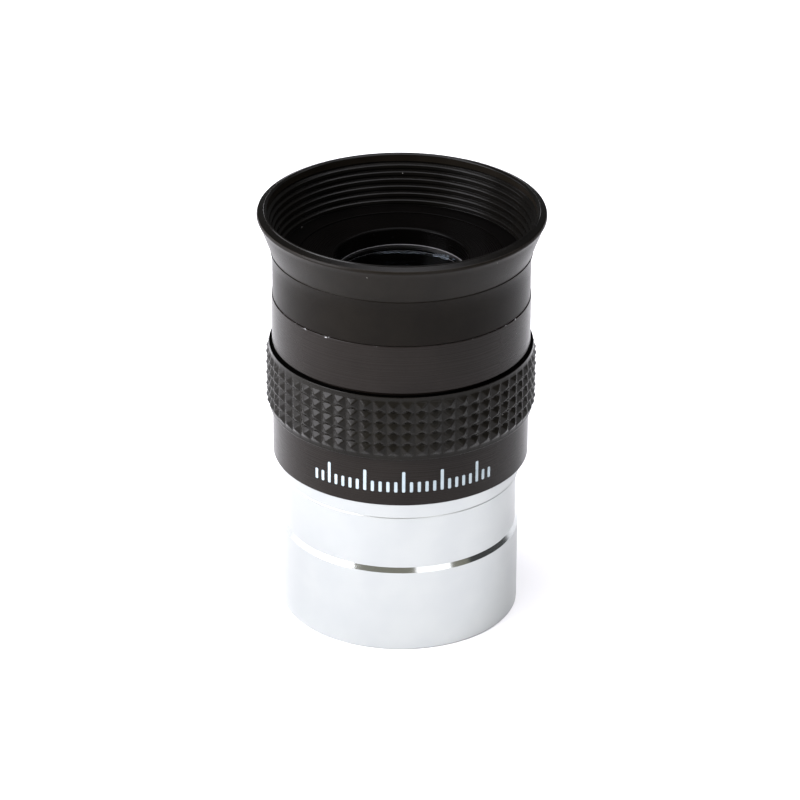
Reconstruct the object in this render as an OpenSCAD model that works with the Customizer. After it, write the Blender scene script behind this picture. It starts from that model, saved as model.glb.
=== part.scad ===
// Telescope eyepiece with a 1.25 inch push-fit nosepiece: two cemented doublets in a cell,
// a black anodised housing with a rubber grip band, and a fold-down rubber eyecup.
// Millimetres. +Z is the optical axis towards the eye, and Z = 0 is the nosepiece's mouth.

/* [Nosepiece barrel] */
// Outside diameter of the push-fit barrel
barrel_d = 31.75; // [31.6:0.01:31.8]
// Height of the full-diameter zone above the mouth
mouth_zone_h = 11.6; // [9:0.1:12]
// Radial depth of the safety groove
groove_depth = 0.34; // [0.2:0.02:0.6]
// Height of the polished bevel that leads into the groove
bevel_h = 0.75; // [0.4:0.05:1.2]
// Height of the groove's upper end
groove_top_z = 19.66; // [17:0.02:20]
// Height of the shoulder that stops against the housing
shoulder_z = 22.35; // [21.6:0.05:23]
// Bore diameter of the filter thread's crests
filter_bore_d = 27.9; // [27.6:0.02:28]
// Depth of the filter thread
filter_thread_h = 5; // [4:0.1:6]
// Diameter of the relieved bore above the filter thread
relief_bore_d = 28.8; // [28.2:0.1:29.4]

/* [Screwed neck] */
// Outside diameter of the barrel's threaded neck
neck_d = 26; // [25:0.1:26.4]
// Length of the neck above the shoulder
neck_h = 4.85; // [4:0.05:5.2]
// Bore diameter of the neck
neck_bore_d = 23.2; // [21:0.1:23.4]
// Radial clearance of the screwed joint
screw_gap = 0.05; // [0.02:0.01:0.1]

/* [Field stop] */
// Clear diameter of the field stop
stop_d = 14.8; // [12:0.1:16]
// Height of the field stop's lower face
stop_z = 24; // [23.2:0.1:24.6]
// Height of the field stop ring
stop_h = 2.2; // [1.2:0.1:2.4]

/* [Housing] */
// Outside diameter of the lower band
lower_band_d = 34.12; // [33.6:0.02:34.6]
// Outside diameter of the body above the grip band
upper_body_d = 34.26; // [33.8:0.02:34.8]
// Height of the lower band's upper edge
recess_low_z = 29.16; // [28.6:0.02:30]
// Height of the grip recess's upper edge
recess_top_z = 38.92; // [38.6:0.02:39.6]
// Diameter at the floor of the grip recess
recess_d = 32.4; // [31.6:0.1:33]
// Height of the seam between the body and the eyecup
seam_z = 45.47; // [44.8:0.01:46]
// Diameter of the boss that the eyecup grips
boss_d = 31.2; // [30.4:0.1:31.6]
// Height of the boss's outer rim
boss_z = 49.7; // [49.2:0.05:50]
// Height of the top face around the eye hole
top_face_z = 50.45; // [50.2:0.05:50.8]
// Outside diameter of that top face
top_face_d = 27.3; // [26:0.1:28]
// Diameter of the eye hole
eye_hole_d = 17.6; // [16:0.1:18]
// Thickness of the top wall
top_wall_h = 2.45; // [2:0.05:3]

/* [Grip band] */
// Diameter over the tips of the studs
grip_d = 36; // [35.4:0.02:36.4]
// Diameter at the feet of the studs
grip_root_d = 35.1; // [34.6:0.02:35.3]
// Height of the band's upper edge
grip_top_z = 38.42; // [38:0.02:38.6]
// Plain margin above and below the studs
grip_margin = 0.68; // [0.4:0.02:0.9]
// Number of studs round the band
stud_columns = 60; // [48:2:80]
// Number of rows of studs
stud_rows = 5; // [4:1:6]

/* [Eyecup] */
// Outside diameter of the sleeve
sleeve_d = 34.08; // [33.6:0.02:34.6]
// Height of the fold line
fold_z = 51.8; // [51.4:0.05:52.2]
// Outside diameter at the fold line
fold_d = 34.6; // [34.4:0.02:35]
// Outside diameter of the lip
lip_d = 38.12; // [37.6:0.02:38.6]
// Height of the lip's underside
lip_low_z = 56.1; // [55.8:0.05:56.4]
// Overall height
overall_h = 57.4; // [57.2:0.05:57.6]
// Thickness of the cup's wall
cup_wall = 1.1; // [0.9:0.05:1.3]
// Number of steps moulded into the bowl
bowl_steps = 6; // [4:1:8]
// Inside diameter of the bowl's floor
bowl_floor_d = 32; // [31.4:0.1:32.4]

/* [Optics] */
// Diameter of the four lenses
lens_d = 19.2; // [18.8:0.1:19.4]
// Radius of the curved lens surfaces
lens_curve_r = 20; // [19:0.5:24]
// Centre thickness of each crown lens
crown_t = 5.6; // [5.4:0.1:6]
// Centre thickness of each flint lens
flint_t = 1.3; // [1:0.1:1.6]
// Air space between the two doublets
air_gap = 0.6; // [0.4:0.1:1]
// Outside diameter of the lens cell
cell_d = 26; // [25:0.1:26.04]
// Height of the lens cell's lower face
cell_low_z = 28.5; // [27.8:0.1:29]
// Thickness of the lip that holds the eye lens
cell_lip_h = 0.4; // [0.3:0.05:0.6]

/* [Hidden] */
$fn = 128;

chamfer = 0.25;
barrel_r = barrel_d / 2;
filter_bore_r = filter_bore_d / 2;
relief_bore_r = relief_bore_d / 2;
neck_r = neck_d / 2;
neck_top_z = shoulder_z + neck_h;
neck_bore_r = neck_bore_d / 2;
neck_ledge_h = 1.5;
stop_r = neck_bore_r - screw_gap;
stop_edge_h = 0.3;
stop_cone_h = 1.3;

housing_bore_r = neck_r + screw_gap;
housing_bore_top_z = top_face_z - top_wall_h;
lower_band_r = lower_band_d / 2;
upper_body_r = upper_body_d / 2;
recess_r = recess_d / 2;
boss_r = boss_d / 2;
bead_z = seam_z + 1.2;
bead_h = 1;
bead_depth = 0.5;
hole_round = 0.35;

grip_low_z = recess_low_z + 0.04;
grip_margin_r = grip_root_d / 2 + 0.06;
grip_bore_r = recess_r + 0.02;
grip_chamfer = 0.15;
stud_angle = 360 / stud_columns;
stud_pitch_z = (grip_top_z - grip_low_z - 2 * grip_margin) / stud_rows;

sleeve_r = sleeve_d / 2;
sleeve_low_z = seam_z + 0.03;
flare_z = 50.4;
fold_r = fold_d / 2;
fold_step = 0.08;
flare_power = 1.1;
flange_h = 0.9;
flange_bore_r = top_face_d / 2 + 0.05;
flange_top_z = boss_z + flange_h;
bowl_floor_r = bowl_floor_d / 2;
lip_r = lip_d / 2;
lip_lean = 0.3;
lip_low_r = lip_r - lip_lean;
lip_bore_r = lip_low_r - cup_wall - 0.03;
lip_edge_z = overall_h - 0.55;
lip_edge_round = 0.12;
lip_crest_r = lip_r - 1.12;
lip_crest_round = 0.14;
cup_gap = 0.02;
skirt_gap = 0.01;
step_h = (lip_low_z - flange_top_z) / bowl_steps;
tread = 0.14;
tread_rise = 0.02;

lens_r = lens_d / 2;
lens_gap = 0.02;
cell_r = cell_d / 2;
cell_top_z = housing_bore_top_z;
cell_lip_r = 9;
retainer_thread_r = lens_r + 0.4;
eye_face_z = cell_top_z - cell_lip_h;
sag = lens_curve_r - sqrt(pow(lens_curve_r, 2) - pow(lens_r, 2));
eye_cement_z = eye_face_z - flint_t;
eye_inner_z = eye_cement_z - crown_t;
field_inner_z = eye_inner_z - air_gap;
field_cement_z = field_inner_z - crown_t;
field_face_z = field_cement_z - flint_t;
spacer_bore_r = lens_r - 0.6;
spacer_sag = lens_curve_r - sqrt(pow(lens_curve_r, 2) - pow(spacer_bore_r, 2));
retainer_bore_r = lens_r - 1;
retainer_h = 2.1;
retainer_nose_h = 0.3;
slot_w = 1.6;
slot_h = 0.9;

// Ring turned from an outline of [radius, height] points.
module turned(outline) {
  rotate_extrude() polygon(outline);
}

// Ring with two spanner slots cut across its lower face.
module slotted(low_z, outer_r, depth) {
  difference() {
    children();
    translate([-outer_r - 1, -slot_w / 2, low_z - 1])
      cube([2 * outer_r + 2, slot_w, depth + 1]);
  }
}

// Outside radius of the flared cup at height z, a slightly hollow sweep from the fold to the lip.
function flare_r(z) = fold_r + (lip_low_r - fold_r) * pow((z - fold_z) / (lip_low_z - fold_z), flare_power);

// Bowl radius at height z, a straight cone from the floor to the lip.
function bowl_r(z) = bowl_floor_r + (lip_bore_r - bowl_floor_r) * (z - flange_top_z) / (lip_low_z - flange_top_z);

// Stepped outline of the bowl between two heights: a steep riser and a narrow tread in each step.
function bowl_outline(low, high) = [
  for (i = [0 : bowl_steps - 1])
    let (foot_z = flange_top_z + i * step_h, head_z = foot_z + step_h - tread_rise)
    for (point = [[bowl_r(foot_z), foot_z], [bowl_r(head_z + tread_rise) - tread, head_z]])
      if (point[1] > low && point[1] < high) point
];

module barrel() {
  groove_r = barrel_r - groove_depth;
  color("gainsboro")
    turned([
      [filter_bore_r + chamfer, 0],
      [barrel_r - chamfer, 0],
      [barrel_r, chamfer],
      [barrel_r, mouth_zone_h],
      [groove_r, mouth_zone_h + bevel_h],
      [groove_r, groove_top_z],
      [barrel_r, groove_top_z + 0.06],
      [barrel_r, shoulder_z],
      [neck_r, shoulder_z],
      [neck_r, neck_top_z - chamfer],
      [neck_r - chamfer, neck_top_z],
      [neck_bore_r, neck_top_z],
      [neck_bore_r, shoulder_z - neck_ledge_h],
      [relief_bore_r, shoulder_z - neck_ledge_h],
      [relief_bore_r, filter_thread_h + chamfer],
      [filter_bore_r, filter_thread_h],
      [filter_bore_r, chamfer]
    ]);
}

module field_stop() {
  color("dimgray")
    turned([
      [stop_r, stop_z],
      [stop_r, stop_z + stop_h],
      [stop_d / 2, stop_z + stop_h],
      [stop_d / 2, stop_z + stop_h - stop_edge_h],
      [stop_d / 2 + stop_cone_h, stop_z]
    ]);
}

module housing() {
  color("#2b2a2a")
    turned([
      [housing_bore_r, shoulder_z],
      [lower_band_r - chamfer, shoulder_z],
      [lower_band_r, shoulder_z + chamfer],
      [lower_band_r, recess_low_z],
      [recess_r, recess_low_z],
      [recess_r, recess_top_z],
      [upper_body_r - chamfer, recess_top_z],
      [upper_body_r, recess_top_z + chamfer],
      [upper_body_r, seam_z],
      [boss_r, seam_z],
      [boss_r, bead_z],
      [boss_r - bead_depth, bead_z],
      [boss_r - bead_depth, bead_z + bead_h],
      [boss_r, bead_z + bead_h],
      [boss_r, boss_z],
      [top_face_d / 2, boss_z],
      [top_face_d / 2, top_face_z],
      for (a = [0 : 15 : 90])
        [eye_hole_d / 2 + hole_round * (1 - sin(a)), top_face_z - hole_round * (1 - cos(a))],
      [eye_hole_d / 2, housing_bore_top_z],
      [housing_bore_r, housing_bore_top_z]
    ]);
}

// Studded rubber band: a ring of outline levels round the axis, with a four-sided stud in each cell.
module grip_ring() {
  low_levels = [
    [grip_bore_r, grip_low_z],
    [grip_margin_r - grip_chamfer, grip_low_z],
    [grip_margin_r, grip_low_z + grip_chamfer]
  ];
  root_levels = [
    for (i = [0 : stud_rows])
      [grip_root_d / 2, grip_low_z + grip_margin + i * stud_pitch_z]
  ];
  high_levels = [
    [grip_margin_r, grip_top_z - grip_chamfer],
    [grip_margin_r - grip_chamfer, grip_top_z],
    [grip_bore_r, grip_top_z]
  ];
  levels = concat(low_levels, root_levels, high_levels);
  level_count = len(levels);
  first_row = len(low_levels);
  rim_points = [
    for (level = levels)
      for (c = [0 : stud_columns - 1])
        [level[0] * cos(c * stud_angle), level[0] * sin(c * stud_angle), level[1]]
  ];
  tip_start = len(rim_points);
  tip_points = [
    for (row = [0 : stud_rows - 1])
      for (c = [0 : stud_columns - 1])
        [grip_d / 2 * cos((c + 0.5) * stud_angle),
         grip_d / 2 * sin((c + 0.5) * stud_angle),
         grip_low_z + grip_margin + (row + 0.5) * stud_pitch_z]
  ];
  function at(level, c) = (level % level_count) * stud_columns + c % stud_columns;
  function stud_tip(row, c) = tip_start + row * stud_columns + c;
  plain_faces = [
    for (level = [0 : level_count - 1])
      if (level < first_row || level >= first_row + stud_rows)
        for (c = [0 : stud_columns - 1])
          for (triangle = [[at(level, c), at(level + 1, c), at(level + 1, c + 1)],
                           [at(level, c), at(level + 1, c + 1), at(level, c + 1)]])
            triangle
  ];
  stud_faces = [
    for (row = [0 : stud_rows - 1])
      for (c = [0 : stud_columns - 1])
        let (a = at(first_row + row, c), b = at(first_row + row, c + 1))
        let (d = at(first_row + row + 1, c), e = at(first_row + row + 1, c + 1))
        for (edge = [[b, a], [a, d], [d, e], [e, b]])
          [edge[0], edge[1], stud_tip(row, c)]
  ];
  color("#232323")
    polyhedron(points = concat(rim_points, tip_points), faces = concat(plain_faces, stud_faces));
}

module lens_cell() {
  color("#1c1c1c")
    slotted(cell_low_z, cell_r, slot_h)
      turned([
        [retainer_thread_r, cell_low_z],
        [cell_r - chamfer, cell_low_z],
        [cell_r, cell_low_z + chamfer],
        [cell_r, cell_top_z - chamfer],
        [cell_r - chamfer, cell_top_z],
        [cell_lip_r, cell_top_z],
        [cell_lip_r, eye_face_z],
        [lens_r + lens_gap, eye_face_z],
        [lens_r + lens_gap, field_face_z - retainer_nose_h],
        [retainer_thread_r, field_face_z - retainer_nose_h]
      ]);
}

// Plano-concave flint: its flat face at face_z, its hollow face towards the crown lens.
module flint(face_z, cement_z, towards) {
  difference() {
    translate([0, 0, min(face_z, cement_z + towards * sag)])
      cylinder(r = lens_r, h = abs(face_z - cement_z - towards * sag));
    translate([0, 0, cement_z + towards * lens_curve_r])
      sphere(r = lens_curve_r);
  }
}

// Biconvex crown between two heights on the axis.
module crown(low_z, high_z) {
  intersection() {
    translate([0, 0, low_z])
      cylinder(r = lens_r, h = high_z - low_z);
    translate([0, 0, high_z - lens_curve_r])
      sphere(r = lens_curve_r);
    translate([0, 0, low_z + lens_curve_r])
      sphere(r = lens_curve_r);
  }
}

module eye_flint() {
  color("lightsteelblue") flint(eye_face_z, eye_cement_z, -1);
}

module eye_crown() {
  color("lightcyan") crown(eye_inner_z, eye_cement_z);
}

module lens_spacer() {
  color("#202020")
    turned([
      [spacer_bore_r, field_inner_z - spacer_sag],
      [lens_r, field_inner_z - spacer_sag],
      [lens_r, eye_inner_z + spacer_sag],
      [spacer_bore_r, eye_inner_z + spacer_sag]
    ]);
}

module field_crown() {
  color("lightcyan") crown(field_cement_z, field_inner_z);
}

module field_flint() {
  color("lightsteelblue") flint(field_face_z, field_cement_z, 1);
}

module cell_retainer() {
  low_z = field_face_z - retainer_nose_h - retainer_h;
  color("#252525")
    slotted(low_z, retainer_thread_r, slot_h)
      turned([
        [retainer_bore_r, low_z],
        [retainer_thread_r - screw_gap, low_z],
        [retainer_thread_r - screw_gap, field_face_z - retainer_nose_h],
        [lens_r - 0.1, field_face_z - retainer_nose_h],
        [lens_r - 0.1, field_face_z],
        [retainer_bore_r, field_face_z]
      ]);
}

module eyecup_sleeve() {
  grip_r = boss_r + cup_gap;
  hook_r = grip_r - bead_depth;
  color("#2d2d2d")
    turned(concat(
      [
        [grip_r, sleeve_low_z],
        [sleeve_r, sleeve_low_z],
        [sleeve_r, flare_z],
        [fold_r, fold_z]
      ],
      [[bowl_r(fold_z), fold_z]],
      [for (i = [len(bowl_outline(0, fold_z)) - 1 : -1 : 0]) bowl_outline(0, fold_z)[i]],
      [
        [flange_bore_r, flange_top_z],
        [flange_bore_r, boss_z + cup_gap],
        [grip_r, boss_z + cup_gap],
        [grip_r, bead_z + bead_h - cup_gap],
        [hook_r, bead_z + bead_h - cup_gap],
        [hook_r, bead_z + cup_gap],
        [grip_r, bead_z + cup_gap]
      ]
    ));
}

module eyecup_skirt() {
  low = fold_z + skirt_gap;
  high = lip_low_z - skirt_gap;
  inner = bowl_outline(low, high);
  outer_steps = 8;
  color("#2d2d2d")
    turned(concat(
      [
        for (i = [0 : outer_steps])
          let (z = low + (high - low) * i / outer_steps)
          [flare_r(z) - fold_step * (1 - i / outer_steps), z]
      ],
      [[bowl_r(high), high]],
      [for (i = [len(inner) - 1 : -1 : 0]) inner[i]],
      [[bowl_r(low), low]]
    ));
}

module eyecup_lip() {
  color("#333333")
    turned([
      [lip_bore_r, lip_low_z],
      [lip_low_r, lip_low_z],
      [lip_r, lip_edge_z - lip_edge_round],
      [lip_r, lip_edge_z],
      [lip_r - lip_edge_round, lip_edge_z + lip_edge_round],
      [lip_crest_r + lip_crest_round, overall_h - lip_crest_round / 2],
      [lip_crest_r, overall_h],
      [lip_crest_r - lip_crest_round, overall_h - lip_crest_round]
    ]);
}

barrel();
field_stop();
housing();
grip_ring();
lens_cell();
eye_flint();
eye_crown();
lens_spacer();
field_crown();
field_flint();
cell_retainer();
eyecup_sleeve();
eyecup_skirt();
eyecup_lip();
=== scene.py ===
# %% [markdown]
# # A telescope eyepiece, as a lesson in turned parts and moulded rubber
#
# The real object is a stack of lathe-turned rings with two rubber mouldings pushed over them. The packed
# CAD model gives every piece its place and size in metres, and this script gives the pieces that show a
# finer surface: rounded edges, screw threads, studs, steps and printed marks. It then finishes all of
# them with node materials. The frame comes first, because the new pieces are measured from it, and all
# but the eyecup ride on one of its bodies.

# %% Load the frame
import math

import bmesh
import bpy
import numpy as np
from mathutils import Matrix, Vector


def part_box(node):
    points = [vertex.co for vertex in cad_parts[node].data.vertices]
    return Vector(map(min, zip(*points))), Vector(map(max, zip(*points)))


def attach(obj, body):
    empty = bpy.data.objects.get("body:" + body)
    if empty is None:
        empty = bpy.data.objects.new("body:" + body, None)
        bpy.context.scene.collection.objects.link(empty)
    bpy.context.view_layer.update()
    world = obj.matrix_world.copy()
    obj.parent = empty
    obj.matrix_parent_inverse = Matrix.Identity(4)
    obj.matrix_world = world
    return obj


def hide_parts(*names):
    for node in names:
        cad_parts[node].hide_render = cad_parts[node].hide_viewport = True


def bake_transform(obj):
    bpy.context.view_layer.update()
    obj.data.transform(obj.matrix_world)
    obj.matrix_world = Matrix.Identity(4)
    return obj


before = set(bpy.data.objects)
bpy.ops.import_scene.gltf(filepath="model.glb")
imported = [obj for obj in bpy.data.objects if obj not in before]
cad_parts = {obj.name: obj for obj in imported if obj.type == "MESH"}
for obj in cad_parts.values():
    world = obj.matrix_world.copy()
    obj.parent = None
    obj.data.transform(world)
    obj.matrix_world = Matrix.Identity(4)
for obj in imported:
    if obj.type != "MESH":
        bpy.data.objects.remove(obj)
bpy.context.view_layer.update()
MM = 0.001

# %% [markdown]
# ## Sizes read from the frame
#
# A person with calipers would measure the CAD parts and note the numbers, and that is what this cell
# does. The radii and heights come from the boxes of the CAD nodes, so a finer piece always lands on the
# part it stands for. They could be typed in again, but then the two models would drift apart as soon as
# one changed.


# %% Measure the CAD parts
def reach(node):
    """Outer radius, lowest and highest point of a CAD node, in millimetres."""
    low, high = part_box(node)
    return high.x / MM, low.z / MM, high.z / MM


barrel_r, _, neck_top = reach("barrel")
housing_r, shoulder, face_top = reach("housing")
grip_r, grip_low, grip_top = reach("grip_ring")
_, sleeve_low, fold_height = reach("eyecup_sleeve")
_, _, lip_low = reach("eyecup_skirt")
lip_r, _, lip_top = reach("eyecup_lip")
print(f"barrel r {barrel_r:.3f}, shoulder {shoulder:.2f}, grip {grip_low:.2f} to {grip_top:.2f}")
print(f"fold line {fold_height:.2f}, lip r {lip_r:.2f}, top {lip_top:.2f}")

# %% [markdown]
# ## One lathe for every round piece
#
# A turned part is an outline spun round an axis. Blender has a Screw modifier and a Spin operator for
# that, but a short function that writes the rings itself gives two things they don't: a small round on
# each corner, with a support ring either side so that flat walls shade flat, and a relief, which moves
# points in or out as they go round. The relief is what cuts screw threads and raises studs out of the
# same surface.


# %% Round the corners of an outline
CORNER_STEPS = 5
SUPPORT = 0.04
NEARLY_STRAIGHT = 0.02


def rounded(corners):
    """Outline points from (radius, height, corner radius) triples, each corner as a short arc."""
    points = []
    count = len(corners)
    for i, (r, z, size) in enumerate(corners):
        here = Vector((r, z))
        before = Vector(corners[i - 1][:2]) - here
        after = Vector(corners[(i + 1) % count][:2]) - here
        bend = before.angle(after)
        if size <= 0 or bend > math.pi - NEARLY_STRAIGHT:
            points.append(here)
            continue
        reach_back = min(size / math.tan(bend / 2), 0.45 * before.length, 0.45 * after.length)
        size = reach_back * math.tan(bend / 2)
        start = here + before.normalized() * reach_back
        end = here + after.normalized() * reach_back
        inward = (before.normalized() + after.normalized()).normalized()
        middle = here + inward * size / math.sin(bend / 2)
        points.append(start + before.normalized() * min(SUPPORT, 0.05 * before.length))
        for k in range(CORNER_STEPS + 1):
            spoke = (start - middle).lerp(end - middle, k / CORNER_STEPS)
            points.append(middle + spoke.normalized() * size)
        points.append(end + after.normalized() * min(SUPPORT, 0.05 * after.length))
    return [(p.x, p.y) for p in points]


def wall(r, low, high, step):
    """Closely spaced outline points up or down a straight wall, for a thread to be cut in."""
    rows = max(2, round(abs(high - low) / step))
    return [(r, low + (high - low) * k / rows, 0) for k in range(rows + 1)]


# %% Spin an outline into a mesh
COLUMNS = 288


def turn(name, outline, columns=COLUMNS, relief=None, sharp=40):
    """Mesh object of a closed outline of (radius, height) in mm, turned round Z, with an optional relief."""
    outline = np.array(outline)
    angle = np.arange(columns) * 2 * math.pi / columns
    radius = np.repeat(outline[:, 0][:, None], columns, 1)
    height = np.repeat(outline[:, 1][:, None], columns, 1)
    if relief:
        radius = radius + relief(radius, height, np.repeat(angle[None, :], len(outline), 0))
    points = np.stack([radius * np.cos(angle), radius * np.sin(angle), height], -1).reshape(-1, 3) * MM
    rows = len(outline)
    faces = []
    for i in range(rows):
        low, high = i * columns, (i + 1) % rows * columns
        for c in range(columns):
            d = (c + 1) % columns
            faces.append((low + c, low + d, high + d, high + c))
    return mesh_object(name, points, faces, sharp)


def mesh_object(name, points, faces, sharp=40):
    """A smooth-shaded mesh object whose edges above the sharp angle stay crisp."""
    mesh = bpy.data.meshes.new(name)
    mesh.from_pydata([tuple(p) for p in points], [], faces)
    work = bmesh.new()
    work.from_mesh(mesh)
    bmesh.ops.recalc_face_normals(work, faces=work.faces)
    work.to_mesh(mesh)
    work.free()
    mesh.shade_smooth()
    mesh.set_sharp_from_angle(angle=math.radians(sharp))
    piece = bpy.data.objects.new(name, mesh)
    bpy.context.scene.collection.objects.link(piece)
    print(f"{name}: {len(mesh.vertices)} points, {len(mesh.polygons)} faces")
    return piece


# %% [markdown]
# ## Screw threads
#
# A real thread is one groove that climbs by its pitch in each turn. Stacked rings would look alike from
# afar, but their ends would not run out round the barrel, and the two halves could not screw together. So
# the groove's depth is a wave in height and angle together, which makes a true right-hand helix, and it
# fades in and out over a little more than half a turn at each end, as a cut thread runs out.


# %% The thread's groove
ON_WALL = 0.004
RUN_OUT = 0.6


def thread_relief(wall_r, low, high, pitch, depth, outward):
    """A relief that cuts a right-hand thread into the wall at wall_r between two heights."""
    direction = 1 if outward else -1

    def relief(radius, height, angle):
        turns = height / pitch - angle / (2 * math.pi)
        wave = np.abs((turns % 1) * 2 - 1)
        groove = np.clip(wave * 1.25 - 0.12, 0, 1)
        run_in = np.clip((height - low) / (RUN_OUT * pitch), 0, 1)
        run_out = np.clip((high - height) / (RUN_OUT * pitch), 0, 1)
        on_wall = np.abs(radius - wall_r) < ON_WALL
        return direction * depth * groove * (run_in * run_out) * on_wall

    return relief


def both(first, second):
    """Two reliefs on one outline, each on its own wall."""
    return lambda radius, height, angle: first(radius, height, angle) + second(radius, height, angle)


# %% [markdown]
# ## The barrel
#
# The nosepiece is a brass or aluminium tube, turned, polished and then plated. It slides into the
# telescope's focuser, and the shallow groove catches the focuser's screw so that the eyepiece can't fall
# out. Its mouth is threaded for a filter and its neck screws into the housing. One closed outline holds
# all of this: the rounds on the edges are a tenth of a millimetre or so, which is what catches the light
# as a bright line.

# %% Turn the barrel
GROOVE_DEPTH = 0.34
BEVEL_LOW, BEVEL_HIGH = 11.62, 12.3
GROOVE_TOP = 19.66
LINE_UP, LINE_DEPTH = 0.12, 0.05
FILTER_R, FILTER_PITCH, FILTER_DEPTH = 13.95, 0.6, 0.3
FILTER_LOW, FILTER_HIGH = 0.5, 4.8
RELIEF_R = 14.4
NECK_R, NECK_BORE, NECK_PITCH, NECK_DEPTH = 13.0, 11.6, 0.75, 0.38
NECK_LEDGE = shoulder - 1.5
NECK_THREAD_LOW, NECK_THREAD_HIGH = shoulder + 0.45, neck_top - 0.3
NECK_RELIEF_R, NECK_RELIEF_TOP = NECK_R - 0.35, shoulder + 0.35
THREAD_STEP = 0.075

groove_r = barrel_r - GROOVE_DEPTH
barrel_outline = [
    (FILTER_R + 0.3, 0, 0.05), (barrel_r, 0, 0.22),
    (barrel_r, BEVEL_LOW, 0.06), (groove_r, BEVEL_HIGH, 0.06),
    (groove_r, GROOVE_TOP, 0.03), (barrel_r, GROOVE_TOP + 0.04, 0.03),
    (barrel_r, GROOVE_TOP + LINE_UP, 0.01), (barrel_r - LINE_DEPTH, GROOVE_TOP + LINE_UP + 0.12, 0.01),
    (barrel_r, GROOVE_TOP + LINE_UP + 0.14, 0.01),
    (barrel_r, shoulder, 0.12), (NECK_RELIEF_R, shoulder, 0), (NECK_RELIEF_R, NECK_RELIEF_TOP, 0),
    *wall(NECK_R, NECK_THREAD_LOW, NECK_THREAD_HIGH, THREAD_STEP),
    (NECK_R - 0.3, neck_top, 0.05), (NECK_BORE, neck_top, 0.1),
    (NECK_BORE, NECK_LEDGE, 0.1), (RELIEF_R, NECK_LEDGE, 0.1), (RELIEF_R, FILTER_HIGH + 0.2, 0.05),
    *wall(FILTER_R, FILTER_HIGH, FILTER_LOW, THREAD_STEP),
]
barrel = turn(
    "barrel_tube", rounded(barrel_outline),
    relief=both(
        thread_relief(NECK_R, NECK_THREAD_LOW, NECK_THREAD_HIGH, NECK_PITCH, NECK_DEPTH, outward=False),
        thread_relief(FILTER_R, FILTER_LOW, FILTER_HIGH, FILTER_PITCH, FILTER_DEPTH, outward=True)),
)
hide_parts("barrel")
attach(barrel, "barrel")

# %% [markdown]
# ## The housing
#
# The black body is one aluminium turning, anodised after it is machined. From below it has a band for the
# printed marks, a recess for the grip, a plain upper body, and a boss that the rubber cup hooks round.
# Inside, one long bore is threaded at its lower end for the barrel and holds the lens cell above it. The
# edge of the eye hole is rounded off more than the others, because lenses are cleaned through it.

# %% Turn the housing
RECESS_LOW, RECESS_TOP, RECESS_R = 29.16, 38.8, 16.2
LOWER_R = 17.06
SEAM = 45.47
BOSS_R, BOSS_TOP = 15.6, 49.7
BEAD_LOW, BEAD_HIGH, BEAD_DEPTH = SEAM + 1.2, SEAM + 2.2, 0.5
TOP_FACE_R, EYE_HOLE_R = 13.65, 8.8
BORE_R = 13.05
BORE_THREAD_LOW, BORE_THREAD_HIGH = shoulder + 0.7, 28.0
BORE_LEAD_IN, BORE_PLAIN_LOW = 0.4, 28.3
WALL_UNDER = face_top - 2.45

housing_outline = [
    (BORE_R + BORE_LEAD_IN, shoulder, 0.05), (LOWER_R, shoulder, 0.16), (LOWER_R, RECESS_LOW, 0.12),
    (RECESS_R, RECESS_LOW, 0.05), (RECESS_R, RECESS_TOP, 0.05), (housing_r, RECESS_TOP, 0.04),
    (housing_r, SEAM, 0.1), (BOSS_R, SEAM, 0.02), (BOSS_R, BEAD_LOW, 0.02),
    (BOSS_R - BEAD_DEPTH, BEAD_LOW, 0.02), (BOSS_R - BEAD_DEPTH, BEAD_HIGH, 0.02),
    (BOSS_R, BEAD_HIGH, 0.02), (BOSS_R, BOSS_TOP, 0.02), (TOP_FACE_R, BOSS_TOP, 0.02),
    (TOP_FACE_R, face_top, 0.08), (EYE_HOLE_R, face_top, 0.35),
    (EYE_HOLE_R, WALL_UNDER, 0.03), (BORE_R, WALL_UNDER, 0.02),
    (BORE_R, BORE_PLAIN_LOW, 0), *wall(BORE_R, BORE_THREAD_HIGH, BORE_THREAD_LOW, THREAD_STEP),
]
housing = turn(
    "housing_body", rounded(housing_outline),
    relief=thread_relief(BORE_R, BORE_THREAD_LOW, BORE_THREAD_HIGH, NECK_PITCH, NECK_DEPTH, outward=True),
)
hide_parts("housing")
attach(housing, "housing")

# %% [markdown]
# ## The grip band
#
# The band is a strip of rubber moulded with rows of small pyramids and stretched into the recess. An
# array of cones on a ring would leave them stuck on. Here the ring's outer wall is a fine grid whose
# radius is a formula: in each cell the height falls from the tip to the foot along four faces. The faces
# meet in slightly soft creases, since rubber copies the mould's edges but never quite sharply. Behind its
# upper rim the band is hollowed a little, and the hollow's faces are given a near-black rubber as painted
# shade; together they give the dark line under the body's edge.

# %% Mould the grip band
STUD_COLUMNS, STUD_ROWS = 60, 5
STUD_MARGIN = 0.68
GRIP_ROOT_R = 17.53
GRIP_BORE_R = RECESS_R + 0.02
STUD_CELLS = 12
CREASE = 9.0
TIP_ROUND = 0.05
HOLLOW_R, HOLLOW_DEPTH = 17.35, 0.3

stud_low, stud_high = grip_low + STUD_MARGIN, grip_top - STUD_MARGIN
stud_pitch = (stud_high - stud_low) / STUD_ROWS


def stud_relief(radius, height, angle):
    """Radial height of the studs: four soft-edged faces in each cell, rising to a blunt tip."""
    across = (angle / (2 * math.pi) * STUD_COLUMNS) % 1 * 2 - 1
    along = ((height - stud_low) / stud_pitch) % 1 * 2 - 1
    from_tip = (np.abs(across) ** CREASE + np.abs(along) ** CREASE) ** (1 / CREASE)
    slope = np.clip(1 - from_tip, 0, 1)
    blunt = 1 - np.sqrt((1 - slope) ** 2 + TIP_ROUND ** 2)
    on_studs = (np.abs(radius - GRIP_ROOT_R) < ON_WALL) & (height > stud_low) & (height < stud_high)
    return (grip_r - GRIP_ROOT_R) * np.clip(blunt, 0, 1) / (1 - TIP_ROUND) * on_studs


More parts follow.
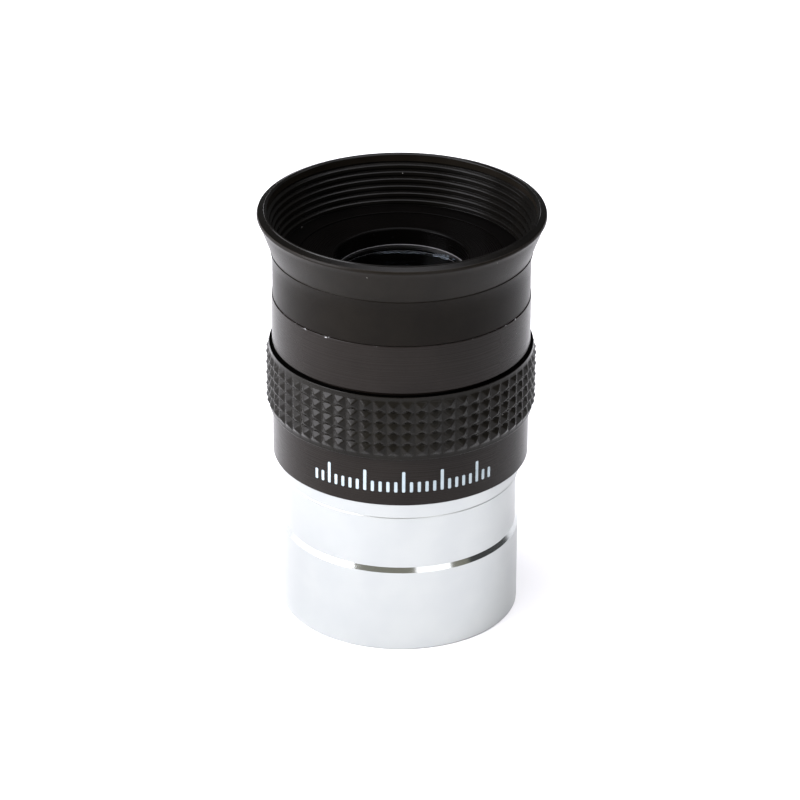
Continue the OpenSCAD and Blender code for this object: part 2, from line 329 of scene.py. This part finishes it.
grip_outline = [
    (GRIP_BORE_R, grip_low, 0.05), (GRIP_ROOT_R, grip_low, 0.2),
    *wall(GRIP_ROOT_R, stud_low, stud_high, stud_pitch / STUD_CELLS),
    (GRIP_ROOT_R + 0.02, grip_top - 0.1, 0.05), (GRIP_ROOT_R - 0.02, grip_top, 0.05),
    (HOLLOW_R, grip_top - HOLLOW_DEPTH, 0.05), (GRIP_BORE_R, grip_top - HOLLOW_DEPTH, 0.05),
]
grip = turn(
    "grip_band", rounded(grip_outline),
    columns=STUD_COLUMNS * STUD_CELLS, relief=stud_relief, sharp=60,
)
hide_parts("grip_ring")
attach(grip, "housing")

# %% [markdown]
# ## The eyecup
#
# The cup is one rubber moulding. Its sleeve hooks into the groove round the housing's boss, its flange
# lies on the boss round the raised top face, and its flared skirt folds down for people who wear glasses.
# The bowl is stepped, so that stray light has no smooth wall to glance off. It is turned as one piece.

# %% Mould the eyecup
SLEEVE_R, FOLD_R = 17.04, 17.3
FLARE_START = 50.4
FLARE_POWER = 1.1
FOLD_STEP, FOLD_STEP_FADE = 0.09, 4.3
CUP_WALL = 1.1
LIP_LEAN = 0.3
HOOK_GAP = 0.02
HOOK_R, FLANGE_BORE_R = BOSS_R - BEAD_DEPTH + HOOK_GAP, TOP_FACE_R + 0.05
CREST_R = lip_r - 1.12
BOWL_R, BOWL_STEPS, FLANGE_TOP = 16.0, 6, BOSS_TOP + 0.9
RIDGE_PROUD, CREST_AT, SHOULDER_AT = 0.2, 0.72, 0.3
GROOVE_CUT, GROOVE_GAP = 0.1, 0.07

lip_bore = lip_r - CUP_WALL - LIP_LEAN - 0.03


def flare_r(z):
    """Outer radius of the flared skirt at a height."""
    part = (z - fold_height) / (lip_low - fold_height)
    return FOLD_R + (lip_r - LIP_LEAN - FOLD_R) * max(part, 0) ** FLARE_POWER


def bowl_r(z):
    """Radius of the bowl's plain cone at a height, before its steps."""
    return BOWL_R + (lip_bore - BOWL_R) * (z - FLANGE_TOP) / (lip_low - FLANGE_TOP)


def bowl_steps():
    """The bowl from the lip down to the flange: leaning steps with a narrow groove between."""
    rise = (lip_low - FLANGE_TOP) / BOWL_STEPS
    for i in reversed(range(BOWL_STEPS)):
        foot, head = FLANGE_TOP + i * rise, FLANGE_TOP + (i + 1) * rise
        yield (bowl_r(head) + GROOVE_CUT, head - GROOVE_GAP, 0.03)
        for share, proud in ((CREST_AT, 1.0), (SHOULDER_AT, 0.75)):
            z = foot + rise * share
            yield (bowl_r(z) - RIDGE_PROUD * proud, z, 0.09)
        yield (bowl_r(foot) + GROOVE_CUT, foot + GROOVE_GAP, 0.03)
    yield (BOWL_R, FLANGE_TOP, 0.12)


cup_outline = [
    (BOSS_R + HOOK_GAP, sleeve_low, 0.03), (SLEEVE_R, sleeve_low, 0.12), (SLEEVE_R, FLARE_START - 1.2, 0),
    (SLEEVE_R + 0.015, FLARE_START, 0), (SLEEVE_R + 0.12, fold_height - 0.6, 0),
    (FOLD_R, fold_height, 0.04), (FOLD_R - FOLD_STEP, fold_height + 0.06, 0.03),
    *[(flare_r(z) - FOLD_STEP * (1 - (z - fold_height) / FOLD_STEP_FADE) ** 2, z, 0)
      for z in np.linspace(fold_height + 0.4, lip_low, 12)],
    (lip_r, lip_top - 0.75, 0.3), (lip_r - 0.12, lip_top - 0.42, 0.15),
    (CREST_R + 0.22, lip_top - 0.14, 0.06), (CREST_R + 0.14, lip_top - 0.02, 0.05),
    (CREST_R, lip_top, 0.05), (lip_bore + 0.06, lip_top - 0.2, 0.12),
    (lip_bore + 0.05, lip_low + 0.2, 0.1), *bowl_steps(),
    (FLANGE_BORE_R, FLANGE_TOP, 0.1), (FLANGE_BORE_R, BOSS_TOP, 0.02), (BOSS_R + HOOK_GAP, BOSS_TOP, 0.02),
    (BOSS_R + HOOK_GAP, BEAD_HIGH, 0.05), (HOOK_R, BEAD_HIGH - HOOK_GAP, 0.1),
    (HOOK_R, BEAD_LOW + HOOK_GAP, 0.1), (BOSS_R + HOOK_GAP, BEAD_LOW, 0.05),
]
cup = turn("rubber_eyecup", rounded(cup_outline), sharp=60)
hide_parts("eyecup_sleeve", "eyecup_skirt", "eyecup_lip")
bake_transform(cup)

# %% [markdown]
# ## The printed marks
#
# The lower band carries pad-printed marks. These are a plain scale: short ticks with a longer one every
# fifth place. Ink could be a mask in the housing's material, but a print has a thickness and an edge, so
# each tick is a small pad of ink bent round the band, a few hundredths of a millimetre proud, with its
# corners clipped.

# %% Print the scale
TICKS = 25
TICK_STEP = math.radians(3.45)
TICK_MIDDLE = math.radians(-90 + 1.5)
TICK_W, SHORT_TICK, LONG_TICK = 0.42, 1.5, 3.0
MARK_LOW = 24.35
INK_THICKNESS, INK_SUNK = 0.03, 0.02
CORNER_CLIP = 0.1
LONG_EVERY = 5


def ink_pad(points, faces, centre, width, low, high):
    """Adds one tick as a thin pad with clipped corners on the band."""
    half = width / 2 / LOWER_R
    clip = CORNER_CLIP
    across = np.linspace(-1, 1, 7)
    up = [0, clip, 0.5 * (high - low), high - low - clip, high - low]
    first = len(points)
    for layer_r in (LOWER_R - INK_SUNK, LOWER_R + INK_THICKNESS):
        for k, rise in enumerate(up):
            inset = clip / width if k in (0, len(up) - 1) else 0
            for s in across:
                angle = centre + s * half * (1 - 2 * inset)
                place = (layer_r * math.cos(angle), layer_r * math.sin(angle), low + rise)
                points.append(tuple(v * MM for v in place))
    wide, tall = len(across), len(up)
    layer = wide * tall
    for side in (0, layer):
        for k in range(tall - 1):
            for s in range(wide - 1):
                a = first + side + k * wide + s
                faces.append((a, a + 1, a + wide + 1, a + wide))
    rim = list(range(wide))
    rim += [k * wide + wide - 1 for k in range(1, tall)]
    rim += [(tall - 1) * wide + s for s in reversed(range(wide - 1))]
    rim += [k * wide for k in reversed(range(1, tall - 1))]
    for a, b in zip(rim, rim[1:] + rim[:1]):
        faces.append((first + a, first + b, first + layer + b, first + layer + a))


mark_points, mark_faces = [], []
for tick in range(TICKS):
    angle = TICK_MIDDLE + (tick - TICKS // 2) * TICK_STEP
    tall = LONG_TICK if tick % LONG_EVERY == 2 else SHORT_TICK
    ink_pad(mark_points, mark_faces, angle, TICK_W, MARK_LOW, MARK_LOW + tall)
marks = mesh_object("scale_marks", mark_points, mark_faces, sharp=30)
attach(marks, "housing")

# %% [markdown]
# ## Shared surface effects
#
# Several finishes share the same small effects: moulded grain, turning marks, dust and bands at an edge.
# Each is a shader node group, built once, with its amounts as inputs, so that a material is a short list
# of choices. The groups read the object's own coordinates in millimetres, which makes every scale a real
# one.

# %% Tools for building node groups
def new_group(name, inputs, outputs):
    """A shader node group with float sockets; returns it with its input and output nodes."""
    group = bpy.data.node_groups.new(name, "ShaderNodeTree")
    for label, default in inputs:
        socket = group.interface.new_socket(label, in_out="INPUT", socket_type="NodeSocketFloat")
        socket.default_value = default
    for label in outputs:
        group.interface.new_socket(label, in_out="OUTPUT", socket_type="NodeSocketFloat")
    return group, group.nodes.new("NodeGroupInput"), group.nodes.new("NodeGroupOutput")


def add(tree, kind, **settings):
    """A node with its properties and unlinked inputs set by name."""
    node = tree.nodes.new(kind)
    for key, value in settings.items():
        if hasattr(node, key):
            setattr(node, key, value)
        else:
            node.inputs[key.replace("_", " ")].default_value = value
    return node


def math_node(tree, operation, first, second=None, clamp=False):
    """A Math node fed by sockets or numbers; returns its output."""
    node = tree.nodes.new("ShaderNodeMath")
    node.operation = operation
    node.use_clamp = clamp
    for slot, value in enumerate((first, second)):
        if value is None:
            continue
        if hasattr(value, "is_output"):
            tree.links.new(value, node.inputs[slot])
        else:
            node.inputs[slot].default_value = value
    return node.outputs[0]


def span(tree, value, low, high, to_low=0.0, to_high=1.0, smooth=True):
    """Map Range from low..high to to_low..to_high."""
    node = tree.nodes.new("ShaderNodeMapRange")
    node.interpolation_type = "SMOOTHSTEP" if smooth else "LINEAR"
    tree.links.new(value, node.inputs["Value"])
    for label, number in (("From Min", low), ("From Max", high), ("To Min", to_low), ("To Max", to_high)):
        if hasattr(number, "is_output"):
            tree.links.new(number, node.inputs[label])
        else:
            node.inputs[label].default_value = number
    return node.outputs["Result"]


def place_mm(tree):
    """Object coordinates in millimetres: the vector, the radius from the axis and the height."""
    coordinates = tree.nodes.new("ShaderNodeTexCoord")
    scale = tree.nodes.new("ShaderNodeVectorMath")
    scale.operation = "SCALE"
    scale.inputs["Scale"].default_value = 1 / MM
    tree.links.new(coordinates.outputs["Object"], scale.inputs[0])
    parts = tree.nodes.new("ShaderNodeSeparateXYZ")
    tree.links.new(scale.outputs[0], parts.inputs[0])
    squares = math_node(tree, "ADD", math_node(tree, "MULTIPLY", parts.outputs[0], parts.outputs[0]),
                        math_node(tree, "MULTIPLY", parts.outputs[1], parts.outputs[1]))
    return scale.outputs[0], math_node(tree, "SQRT", squares), parts.outputs[2]


# %% Moulded grain
def build_grain():
    """Fine pebbled grain with a slower, cloudy change of tone."""
    group, given, result = new_group(
        "moulded_grain", [("Grains per mm", 5.0), ("Cloud size", 4.0)], ["Height", "Cloud"])
    place, _, _ = place_mm(group)
    fine = add(group, "ShaderNodeTexNoise", Detail=3.0, Roughness=0.62)
    cloud = add(group, "ShaderNodeTexNoise", Detail=2.0, Roughness=0.5)
    for noise in (fine, cloud):
        group.links.new(place, noise.inputs["Vector"])
    group.links.new(given.outputs["Grains per mm"], fine.inputs["Scale"])
    group.links.new(math_node(group, "DIVIDE", 1.0, given.outputs["Cloud size"]), cloud.inputs["Scale"])
    group.links.new(fine.outputs[0], result.inputs["Height"])
    group.links.new(span(group, cloud.outputs[0], 0.3, 0.7), result.inputs["Cloud"])
    return group


# %% Turning marks
def build_turning():
    """Hairline rings left by the lathe: noise stretched so far round the axis that it becomes rings."""
    group, given, result = new_group(
        "turning_marks", [("Rings per mm", 9.0), ("Waver", 0.35)], ["Height", "Streak"])
    place, radius, height = place_mm(group)
    along = math_node(group, "ADD", math_node(group, "MULTIPLY", radius, 0.83), height)
    waver = add(group, "ShaderNodeTexNoise", Scale=0.18, Detail=1.0)
    group.links.new(place, waver.inputs["Vector"])
    drift = math_node(group, "MULTIPLY", waver.outputs[0], given.outputs["Waver"])
    shifted = math_node(group, "ADD", along, drift)
    rings = group.nodes.new("ShaderNodeTexNoise")
    rings.noise_dimensions = "1D"
    rings.inputs["Detail"].default_value = 3.0
    rings.inputs["Roughness"].default_value = 0.7
    group.links.new(shifted, rings.inputs["W"])
    group.links.new(given.outputs["Rings per mm"], rings.inputs["Scale"])
    group.links.new(rings.outputs[0], result.inputs["Height"])
    group.links.new(span(group, rings.outputs[0], 0.35, 0.65), result.inputs["Streak"])
    return group


# %% Dust
def build_dust():
    """Sparse pale specks: the small cores of scattered cells, most of them switched off at random."""
    group, given, result = new_group(
        "dust", [("Specks per mm", 1.1), ("Speck size", 0.12), ("Share", 0.12)], ["Mask"])
    place, _, _ = place_mm(group)
    cells = group.nodes.new("ShaderNodeTexVoronoi")
    group.links.new(place, cells.inputs["Vector"])
    group.links.new(given.outputs["Specks per mm"], cells.inputs["Scale"])
    near = math_node(group, "LESS_THAN", cells.outputs["Distance"], given.outputs["Speck size"])
    shade = group.nodes.new("ShaderNodeSeparateColor")
    group.links.new(cells.outputs["Color"], shade.inputs[0])
    chosen = math_node(group, "LESS_THAN", shade.outputs[0], given.outputs["Share"])
    group.links.new(math_node(group, "MULTIPLY", near, chosen), result.inputs["Mask"])
    return group


# %% Bands at an edge
def build_edge_band():
    """A band round the part at one height, broken up by noise into patches."""
    group, given, result = new_group(
        "edge_band", [("Edge height", 0.0), ("Half width", 0.1), ("Breakup", 0.5)], ["Mask"])
    place, _, height = place_mm(group)
    away = math_node(group, "ABSOLUTE", math_node(group, "SUBTRACT", height, given.outputs["Edge height"]))
    share = math_node(group, "DIVIDE", away, given.outputs["Half width"])
    band = math_node(group, "SUBTRACT", 1.0, share, clamp=True)
    noise = add(group, "ShaderNodeTexNoise", Scale=0.9, Detail=4.0, Roughness=0.7)
    group.links.new(place, noise.inputs["Vector"])
    patches = span(group, noise.outputs[0], given.outputs["Breakup"],
                   math_node(group, "ADD", given.outputs["Breakup"], 0.12))
    group.links.new(math_node(group, "MULTIPLY", band, patches), result.inputs["Mask"])
    return group


GROUPS = {"grain": build_grain(), "turning": build_turning(), "dust": build_dust(), "edge": build_edge_band()}
print("node groups", sorted(g.name for g in GROUPS.values()))

# %% [markdown]
# ## Materials
#
# Each material is a Principled shader with its constant values set on its own sockets. Only what changes
# over the surface is linked: a colour that drifts a little, a roughness that follows the grain, a bump
# for the texture too small to model.

# %% Tools for building materials
def start_material(name, color, **sockets):
    """A material with a Principled shader, its constants set by socket name."""
    material = bpy.data.materials.new(name)
    material.use_nodes = True
    tree = material.node_tree
    shader = tree.nodes["Principled BSDF"]
    shader.inputs["Base Color"].default_value = (*color, 1)
    for label, value in sockets.items():
        shader.inputs[label.replace("_", " ")].default_value = value
    return material, tree, shader


def effect(tree, kind, **amounts):
    """A shared effect placed in a material, with its amounts."""
    node = tree.nodes.new("ShaderNodeGroup")
    node.node_tree = GROUPS[kind]
    for label, value in amounts.items():
        node.inputs[label.replace("_", " ")].default_value = value
    return node


def mix_color(tree, mask, first, second):
    """Colour from first to second by a mask; either may be a socket or an RGB triple."""
    node = tree.nodes.new("ShaderNodeMix")
    node.data_type = "RGBA"
    tree.links.new(mask, node.inputs["Factor"])
    for label, value in (("A", first), ("B", second)):
        socket = [s for s in node.inputs if s.name == label and s.type == "RGBA"][0]
        if hasattr(value, "is_output"):
            tree.links.new(value, socket)
        else:
            socket.default_value = (*value, 1)
    return [s for s in node.outputs if s.type == "RGBA"][0]


def bump(tree, shader, height, distance_mm, strength=1.0):
    """Bump of a real depth in millimetres into the shader's normal."""
    node = tree.nodes.new("ShaderNodeBump")
    node.inputs["Strength"].default_value = strength
    node.inputs["Distance"].default_value = distance_mm * MM
    tree.links.new(height, node.inputs["Height"])
    tree.links.new(node.outputs["Normal"], shader.inputs["Normal"])


# %% Chrome
def chrome():
    """Satin plate with faint turning rings, and a mirror-bright bevel."""
    material, tree, shader = start_material("satin_chrome", (0.39, 0.405, 0.4), Metallic=1.0, Roughness=0.2)
    rings = effect(tree, "turning", Rings_per_mm=7.0, Waver=0.2)
    cloud = effect(tree, "grain", Grains_per_mm=3.0, Cloud_size=5.0)
    color = mix_color(tree, cloud.outputs["Cloud"], (0.38, 0.395, 0.395), (0.4, 0.415, 0.41))
    tree.links.new(color, shader.inputs["Base Color"])
    _, _, height = place_mm(tree)
    bevel_middle = (BEVEL_LOW + BEVEL_HIGH) / 2
    away = math_node(tree, "ABSOLUTE", math_node(tree, "SUBTRACT", height, bevel_middle))
    half_bevel = (BEVEL_HIGH - BEVEL_LOW) / 2
    satin = span(tree, away, half_bevel - 0.02, half_bevel + 0.04)
    rough = math_node(tree, "ADD", math_node(tree, "MULTIPLY", rings.outputs["Streak"], 0.03), 0.22)
    tree.links.new(math_node(tree, "MULTIPLY", rough, math_node(tree, "ADD", satin, 0.55), clamp=True),
                   shader.inputs["Roughness"])
    bump(tree, shader, math_node(tree, "MULTIPLY", rings.outputs["Height"], satin), 0.0003)
    return material


# %% Black anodised aluminium
def anodised(name, tones, sheen):
    """Warm black satin with lathe rings, a little dust, and pale chip-shaped patches at the cup's seam:
    painted highlights for glints on the seam's edge.
    """
    material, tree, shader = start_material(name, tones[0], Roughness=0.28, Specular_IOR_Level=sheen)
    rings = effect(tree, "turning", Rings_per_mm=8.0, Waver=0.3)
    grain = effect(tree, "grain", Grains_per_mm=12.0, Cloud_size=6.0)
    specks = effect(tree, "dust", Specks_per_mm=0.8, Speck_size=0.05, Share=0.05)
    # The pale patches along the seam are painted highlights, chip-shaped: they stand in for glints of light
    # on the seam's edge.
    seam_glints = effect(tree, "edge", Edge_height=SEAM - 0.05, Half_width=0.16, Breakup=0.61)
    base = mix_color(tree, grain.outputs["Cloud"], *tones)
    dusty = mix_color(tree, math_node(tree, "MULTIPLY", specks.outputs["Mask"], 0.5), base, (0.3, 0.3, 0.3))
    glinting = mix_color(tree, seam_glints.outputs["Mask"], dusty, (0.7, 0.7, 0.72))
    _, radius, _ = place_mm(tree)
    foot = effect(tree, "edge", Edge_height=WALL_UNDER + 0.04, Half_width=0.1, Breakup=-0.2)
    near_hole = math_node(tree, "LESS_THAN", radius, EYE_HOLE_R + 0.1)
    at_hole = math_node(tree, "MULTIPLY", foot.outputs["Mask"], near_hole)
    tree.links.new(mix_color(tree, at_hole, glinting, (0.35, 0.35, 0.36)), shader.inputs["Base Color"])
    rough = math_node(tree, "ADD", math_node(tree, "MULTIPLY", rings.outputs["Streak"], 0.03), 0.26)
    tree.links.new(rough, shader.inputs["Roughness"])
    half_grain = math_node(tree, "MULTIPLY", grain.outputs["Height"], 0.5)
    texture = math_node(tree, "ADD", rings.outputs["Height"], half_grain)
    bump(tree, shader, texture, 0.0004)
    return material


# %% Rubber
def rubber(name, tones, roughness, grains, depth, dust_share, sheen):
    """Moulded rubber: two near tones, a pebbled grain and a scatter of dust."""
    material, tree, shader = start_material(name, tones[0], Roughness=roughness, Specular_IOR_Level=sheen)
    grain = effect(tree, "grain", Grains_per_mm=grains, Cloud_size=3.5)
    specks = effect(tree, "dust", Specks_per_mm=0.9, Speck_size=0.06, Share=dust_share)
    base = mix_color(tree, grain.outputs["Cloud"], *tones)
    speck = math_node(tree, "MULTIPLY", specks.outputs["Mask"], 0.6)
    dusty = mix_color(tree, speck, base, (0.35, 0.34, 0.32))
    tree.links.new(dusty, shader.inputs["Base Color"])
    ripple = math_node(tree, "MULTIPLY", grain.outputs["Height"], 0.16)
    rough = math_node(tree, "ADD", ripple, roughness - 0.08)
    tree.links.new(rough, shader.inputs["Roughness"])
    bump(tree, shader, grain.outputs["Height"], depth)
    return material


# %% Blackened inner metal
def blackened():
    """Matt black oxide on the inner rings, with machining lines."""
    material, tree, shader = start_material("blackened_metal", (0.01, 0.01, 0.01), Roughness=0.5)
    rings = effect(tree, "turning", Rings_per_mm=5.0, Waver=0.1)
    grain = effect(tree, "grain", Grains_per_mm=14.0, Cloud_size=3.0)
    tree.links.new(mix_color(tree, grain.outputs["Cloud"], (0.008, 0.008, 0.008), (0.014, 0.0135, 0.013)),
                   shader.inputs["Base Color"])
    rough = math_node(tree, "ADD", math_node(tree, "MULTIPLY", rings.outputs["Streak"], 0.12), 0.42)
    tree.links.new(rough, shader.inputs["Roughness"])
    bump(tree, shader, rings.outputs["Height"], 0.004)
    return material


# %% Coated glass
def coated_glass():
    """Glass tinted dark, which hides inner reflections as good coatings do, with a trace of dust."""
    material, tree, shader = start_material(
        "coated_glass", (0.12, 0.14, 0.16), Roughness=0.0, Metallic=0.0, Transmission_Weight=1.0,
        IOR=1.6, Specular_IOR_Level=0.15)
    specks = effect(tree, "dust", Specks_per_mm=1.6, Speck_size=0.04, Share=0.08)
    grain = effect(tree, "grain", Grains_per_mm=0.8, Cloud_size=6.0)
    tint = mix_color(tree, grain.outputs["Cloud"], (0.11, 0.13, 0.15), (0.14, 0.16, 0.18))
    tree.links.new(tint, shader.inputs["Base Color"])
    rough = math_node(tree, "ADD", math_node(tree, "MULTIPLY", specks.outputs["Mask"], 0.4), 0.005)
    tree.links.new(rough, shader.inputs["Roughness"])
    return material


# %% Ink
def ink():
    """Pale, slightly cool print with a soft unevenness where the pad pressed."""
    material, tree, shader = start_material("pale_ink", (0.31, 0.37, 0.4), Roughness=0.45)
    grain = effect(tree, "grain", Grains_per_mm=9.0, Cloud_size=1.2)
    tree.links.new(mix_color(tree, grain.outputs["Cloud"], (0.28, 0.345, 0.375), (0.34, 0.4, 0.43)),
                   shader.inputs["Base Color"])
    bump(tree, shader, grain.outputs["Height"], 0.003)
    return material


# %% Give each piece its finish
# The shade, sleeve and bowl tones are darker copies of the body's and the cup's tones, for painted shade.
BODY_TONES = ((0.0078, 0.0061, 0.0051), (0.0098, 0.0078, 0.0066))
SHADE_TONES = ((0.0009, 0.0008, 0.0007), (0.0013, 0.0011, 0.001))
CUP_TONES = ((0.005, 0.004, 0.0028), (0.0066, 0.0053, 0.0038))
SLEEVE_SHADE_TONES = ((0.0042, 0.0033, 0.0024), (0.0054, 0.0043, 0.0031))
BOWL_SHADE_TONES = ((0.0018, 0.0016, 0.0013), (0.0026, 0.0023, 0.0018))
GRIP_TONES = ((0.0045, 0.0039, 0.003), (0.006, 0.0053, 0.004))

FINISHES = {
    "chrome": chrome(),
    "anodised": anodised("black_anodised_satin", BODY_TONES, sheen=0.095),
    # The body's anodising again in near-black tones with little sheen: painted shade for its face inside the
    # cup.
    "eye_face_shade": anodised("black_anodised_painted_shade", SHADE_TONES, sheen=0.03),
    "cup": rubber("eyecup_rubber", CUP_TONES, 0.32, 9.0, 0.008, dust_share=0.06, sheen=0.075),
    # The cup's rubber in darker tones for the sleeve below the fold: painted shade.
    "sleeve": rubber("sleeve_rubber_painted_shade", SLEEVE_SHADE_TONES, 0.32, 9.0, 0.008, dust_share=0.06, sheen=0.058),
    # The cup's rubber, glossier, in darker tones for the bowl and the lip's top: the darker tones are painted
    # shade.
    "bowl": rubber("glossy_bowl_rubber_painted_shade", BOWL_SHADE_TONES, 0.22, 9.0, 0.003, dust_share=0.04, sheen=0.13),
    "grip": rubber("grip_rubber", GRIP_TONES, 0.24, 8.0, 0.004, dust_share=0.08, sheen=0.1),
    # Near-black rubber for the hollow behind the grip's rim and the cup's flange: painted shade.
    "shade": rubber("shaded_rubber", SHADE_TONES, 0.4, 9.0, 0.004, dust_share=0.03, sheen=0.02),
    "inner": blackened(),
    "glass": coated_glass(),
    "ink": ink(),
}
wearing = {
    "chrome": [barrel], "anodised": [housing], "cup": [cup], "grip": [grip], "ink": [marks],
    "inner": [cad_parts[n] for n in ("field_stop", "lens_cell", "lens_spacer", "cell_retainer")],
    "glass": [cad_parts[n] for n in ("eye_flint", "eye_crown", "field_crown", "field_flint")],
}
for finish, pieces in wearing.items():
    for piece in pieces:
        piece.data.materials.clear()
        piece.data.materials.append(FINISHES[finish])
    print(finish, [piece.name for piece in pieces])


# %% [markdown]
# ## Painted shade within one piece
#
# The cup is one rubber and the housing one turning, but their inner faces look darker than their outer
# ones: the bowl gets little light and mirrors mostly its own dark walls. Separate pieces would break what
# is one moulding, and a mask would add nodes to each material. So the faces are chosen by radius and
# height, and given darker tones of their own as painted shade: the cup's sleeve below the fold, its bowl,
# lip top and flange, the hollow behind the grip's rim, and the housing's face inside the cup. The bowl's
# finish is glossier as well. That is a shortcut for the look, not a second real material.

# %% Paint the chosen faces
def paint_faces(piece, finish, chosen):
    """Gives a further finish to the faces whose middle, as (radius, height) in mm, is chosen."""
    if FINISHES[finish].name not in piece.data.materials:
        piece.data.materials.append(FINISHES[finish])
    slot = piece.data.materials.find(FINISHES[finish].name)
    painted = 0
    for face in piece.data.polygons:
        middle = face.center / MM
        if chosen(math.hypot(middle.x, middle.y), middle.z):
            face.material_index = slot
            painted += 1
    print(f"{finish}: {painted} faces of {piece.name}")


# The shade comes last, because the bowl's choice takes in the flange as well.
# Painted shade: the sleeve below the fold gets darker rubber.
paint_faces(cup, "sleeve", lambda r, z: z < fold_height and r > BOSS_R + 0.2)
# Painted shade: the hollow behind the grip's upper rim gets near-black rubber.
paint_faces(grip, "shade", lambda r, z: z > grip_top - HOLLOW_DEPTH - 0.05 and r < GRIP_ROOT_R - 0.03)
# Painted shade: the housing's top face and upper eye-hole wall inside the cup get near-black anodising.
paint_faces(housing, "eye_face_shade", lambda r, z: z > WALL_UNDER + 0.12 and r < BOSS_R - 0.6)
# Painted shade: the bowl gets darker, glossier rubber.
paint_faces(cup, "bowl", lambda r, z: FLANGE_TOP - 0.05 < z < lip_low + 0.3 and r < bowl_r(z) + 0.15)
# Painted shade: so does the lip's top.
paint_faces(cup, "bowl", lambda r, z: z > lip_top - 0.4 and r < lip_r - 0.2)
# Painted shade: the flange gets near-black rubber.
paint_faces(cup, "shade", lambda r, z: z < FLANGE_TOP + 0.02 and r < BOWL_R + 0.05)

# %% [markdown]
# ## Floor, light and camera
#
# The floor is pale paper. Dark shiny goods show what they mirror more than their own colour, so the light
# is planned from the reflections: upright walls seen from above mirror the floor, which is lit past white
# and so shows almost no shadow; the turned edges mirror the softboxes. There are six. A large one stands
# on the left, one hangs overhead, a weak one fills the right, and a low one behind on the left carries
# the left side's shine round. The front of the room is a wide, dim, warm wall of light with one small
# window before it. The rest is nearly dark, which keeps the black parts black. A bright sky all round
# would be simpler, but it would grey them.

# %% Floor
FLOOR_HALF = 2.0
FLOOR_TILES = 8

floor_mesh = bpy.data.meshes.new("floor")
work = bmesh.new()
bmesh.ops.create_grid(work, x_segments=FLOOR_TILES, y_segments=FLOOR_TILES, size=FLOOR_HALF)
work.to_mesh(floor_mesh)
work.free()
floor = bpy.data.objects.new("floor", floor_mesh)
bpy.context.scene.collection.objects.link(floor)
paper, _, paper_shader = start_material("white_paper", (0.9, 0.9, 0.9), Roughness=0.9)
paper_shader.inputs["Specular IOR Level"].default_value = 0.1
floor.data.materials.append(paper)

# %% Room and softboxes
ROOM = 0.12
KEY_POWER, TOP_POWER, FILL_POWER, WINDOW_POWER = 10.2, 9.5, 0.7, 0.87
FRONT_POWER, BACK_POWER = 6.0, 2.5
LIGHT_TINT, FRONT_TINT = (0.985, 0.975, 1.03), (1.0, 0.95, 0.74)


def aim(thing, place, target):
    """Points an object's -Z at a target."""
    thing.location = place
    thing.rotation_euler = (Vector(target) - Vector(place)).to_track_quat("-Z", "Y").to_euler()


def softbox(name, place, target, width, height, power, tint=LIGHT_TINT):
    """A rectangular area light."""
    light = bpy.data.lights.new(name, "AREA")
    light.shape = "RECTANGLE"
    light.size, light.size_y = width, height
    light.energy = power
    light.color = tint
    lamp = bpy.data.objects.new(name, light)
    bpy.context.scene.collection.objects.link(lamp)
    aim(lamp, place, target)
    return lamp


world = bpy.data.worlds.new("room")
bpy.context.scene.world = world
world.use_nodes = True
backdrop = world.node_tree.nodes["Background"]
backdrop.inputs["Color"].default_value = (0.95, 0.97, 1.0, 1)
backdrop.inputs["Strength"].default_value = ROOM

middle = (0, 0, 0.03)
softbox("key_left", (-0.55, -0.25, 0.32), middle, 0.45, 0.5, KEY_POWER)
softbox("top", (0, -0.05, 0.75), (0, 0.02, 0), 0.8, 0.8, TOP_POWER)
softbox("fill_right", (0.5, 0.1, 0.5), middle, 0.3, 0.3, FILL_POWER)
softbox("window", (0.385, -0.6, 0.27), middle, 0.43, 0.22, WINDOW_POWER)
softbox("front_wall", (0, -1.3, 0.55), middle, 6.0, 0.9, FRONT_POWER, FRONT_TINT)
softbox("back_left", (-0.71, 0.18, 0.2), middle, 0.5, 0.4, BACK_POWER)

# %% Camera
CAMERA_PLACE = Vector((0, -0.53594, 0.29976))
CAMERA_TARGET = Vector((-0.000104, 0, 0.029264))
LENS, SENSOR = 202.4, 36.0
ROLL = math.radians(0.3616)

forward = (CAMERA_TARGET - CAMERA_PLACE).normalized()
right = forward.cross(Vector((0, 0, 1))).normalized()
up = right.cross(forward)
camera_right = right * math.cos(ROLL) + up * math.sin(ROLL)
camera_up = up * math.cos(ROLL) - right * math.sin(ROLL)

lens = bpy.data.cameras.new("camera")
lens.lens, lens.sensor_width = LENS, SENSOR
lens.clip_start = 0.01
camera = bpy.data.objects.new("camera", lens)
bpy.context.scene.collection.objects.link(camera)
turned = Matrix((camera_right, camera_up, -forward)).transposed().to_4x4()
camera.matrix_world = Matrix.Translation(CAMERA_PLACE) @ turned
bpy.context.scene.camera = camera
bpy.context.scene.view_settings.view_transform = "Standard"
bpy.context.scene.view_settings.look = "None"
